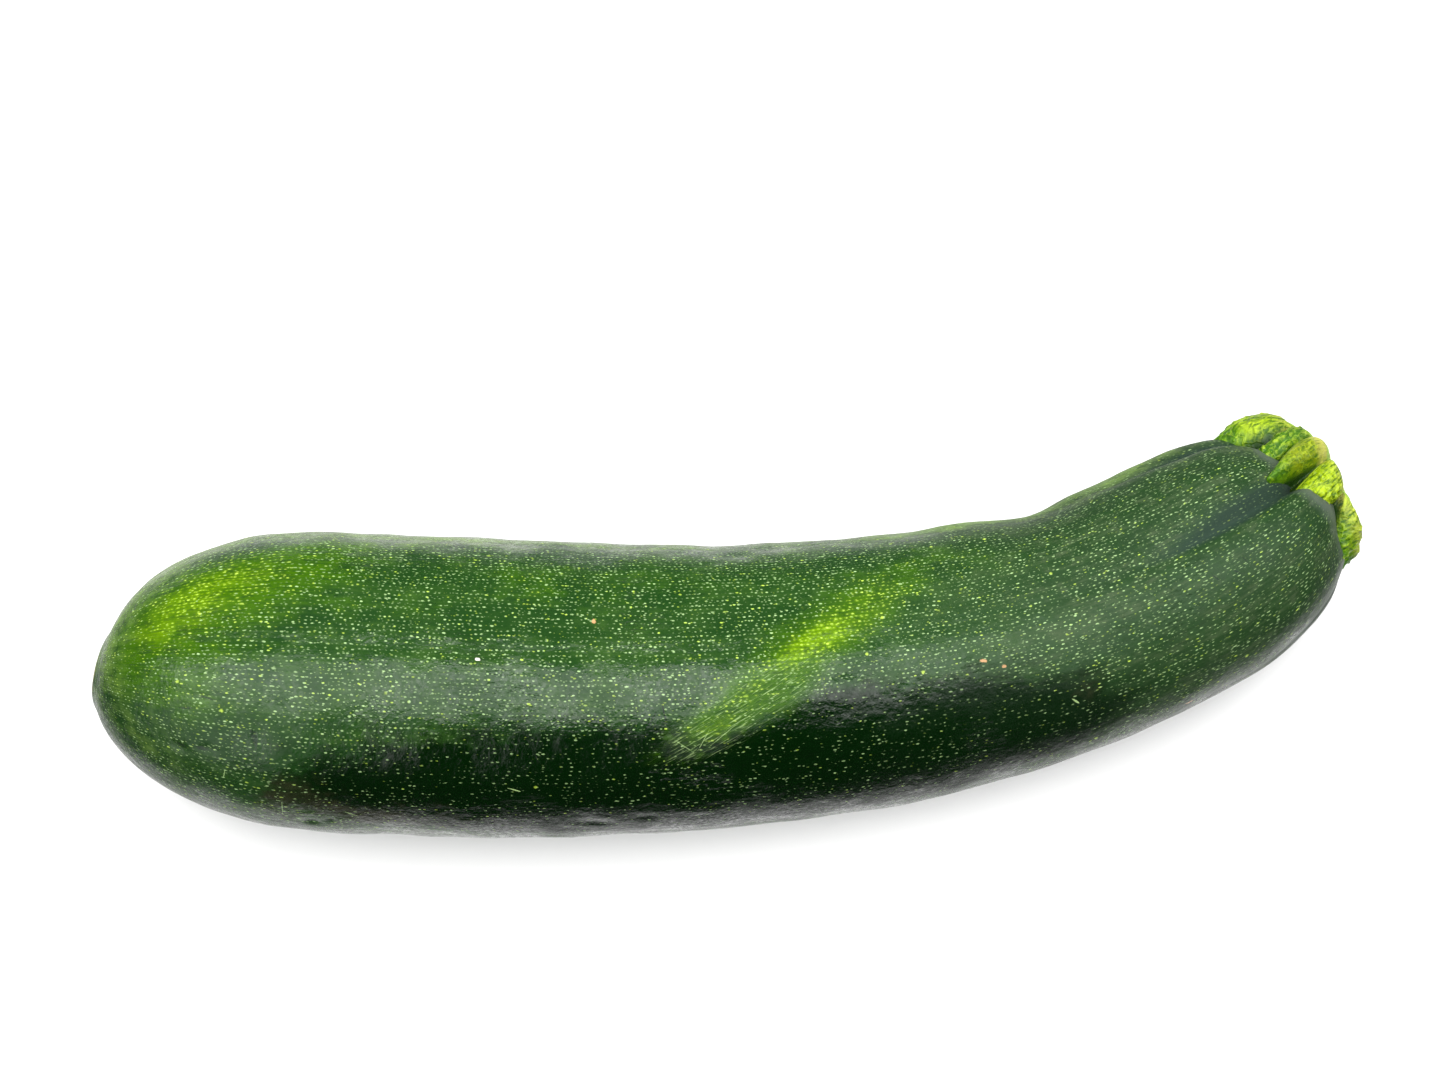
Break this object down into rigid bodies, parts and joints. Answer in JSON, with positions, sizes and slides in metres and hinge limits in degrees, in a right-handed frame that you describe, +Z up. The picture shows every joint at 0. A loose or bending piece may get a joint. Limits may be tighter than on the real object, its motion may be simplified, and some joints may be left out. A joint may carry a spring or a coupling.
{
  "type": "courgette",
  "caption": "Picked courgette lying on its side, with a speckled green skin, a bent neck and a short ribbed stalk stub.",
  "frame": {"origin": "middle of the outline, on the surface that the fruit lies on", "axes": "+X from the blossom end towards the stalk, +Y towards the inside of the bend, +Z up"},
  "size_m": [0.2104, 0.072, 0.0492],
  "materials": {
    "skin": null,
    "stalk": null
  },
  "bodies": {
    "root": {"fruit": "skin", "stalk": "stalk"}
  },
  "joints": []
}
